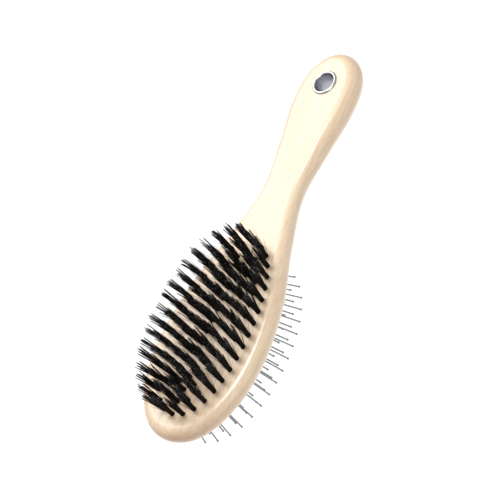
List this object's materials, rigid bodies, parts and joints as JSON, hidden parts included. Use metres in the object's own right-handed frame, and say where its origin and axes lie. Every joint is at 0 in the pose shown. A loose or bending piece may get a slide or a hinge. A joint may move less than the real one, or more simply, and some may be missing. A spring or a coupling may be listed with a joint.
{
  "type": "bristle brush",
  "caption": "Oval wooden grooming brush with bristle tufts on one face, ball-tipped steel pins in a springy air cushion on the other, and a hanging eyelet in the handle.",
  "frame": {"origin": "under the middle of the brush, level with the lowest pin tip", "axes": "+X from the toe of the head to the end of the handle, +Y across, +Z out of the bristle face and along the eyelet's hole"},
  "size_m": [0.22, 0.0662, 0.0485],
  "materials": {
    "wood": "clear satin lacquer over pale close-grained wood",
    "eyelet_metal": "bright nickel plate",
    "bristle": "black bristle with a soft sheen",
    "anchor_wire": "bare flat wire",
    "rubber": "smooth matt rubber",
    "liner_cloth": "plain canvas",
    "pin_steel": "polished steel wire"
  },
  "bodies": {
    "brush": {"wooden_body": "wood", "eyelet": "eyelet_metal", "eyelet_washer": "eyelet_metal", "bristles_ring_1_left": "bristle", "bristles_ring_1_right": "bristle", "bristles_ring_2_left": "bristle", "bristles_ring_2_right": "bristle", "bristles_ring_3_left": "bristle", "bristles_ring_3_right": "bristle", "bristles_ring_4_left": "bristle", "bristles_ring_4_right": "bristle", "anchors_ring_1": "anchor_wire", "anchors_ring_2": "anchor_wire", "anchors_ring_3": "anchor_wire", "anchors_ring_4": "anchor_wire"},
    "pin_pad": {"cushion_pad": "rubber", "cushion_liner": "liner_cloth", "pins_ring_1_left": "pin_steel", "pins_ring_1_right": "pin_steel", "pins_ring_2_left": "pin_steel", "pins_ring_2_right": "pin_steel", "pins_ring_3_left": "pin_steel", "pins_ring_3_right": "pin_steel", "pins_ring_4_left": "pin_steel", "pins_ring_4_right": "pin_steel", "pins_ring_5_left": "pin_steel", "pins_ring_5_right": "pin_steel"}
  },
  "joints": [
    {"name": "cushion_give", "type": "slide", "parent": "brush", "child": "pin_pad", "axis": [0, 0, 1], "range_m": [0, 0.002], "stiffness_N_per_m": 3000, "deforming": ["cushion_pad"]}
  ]
}
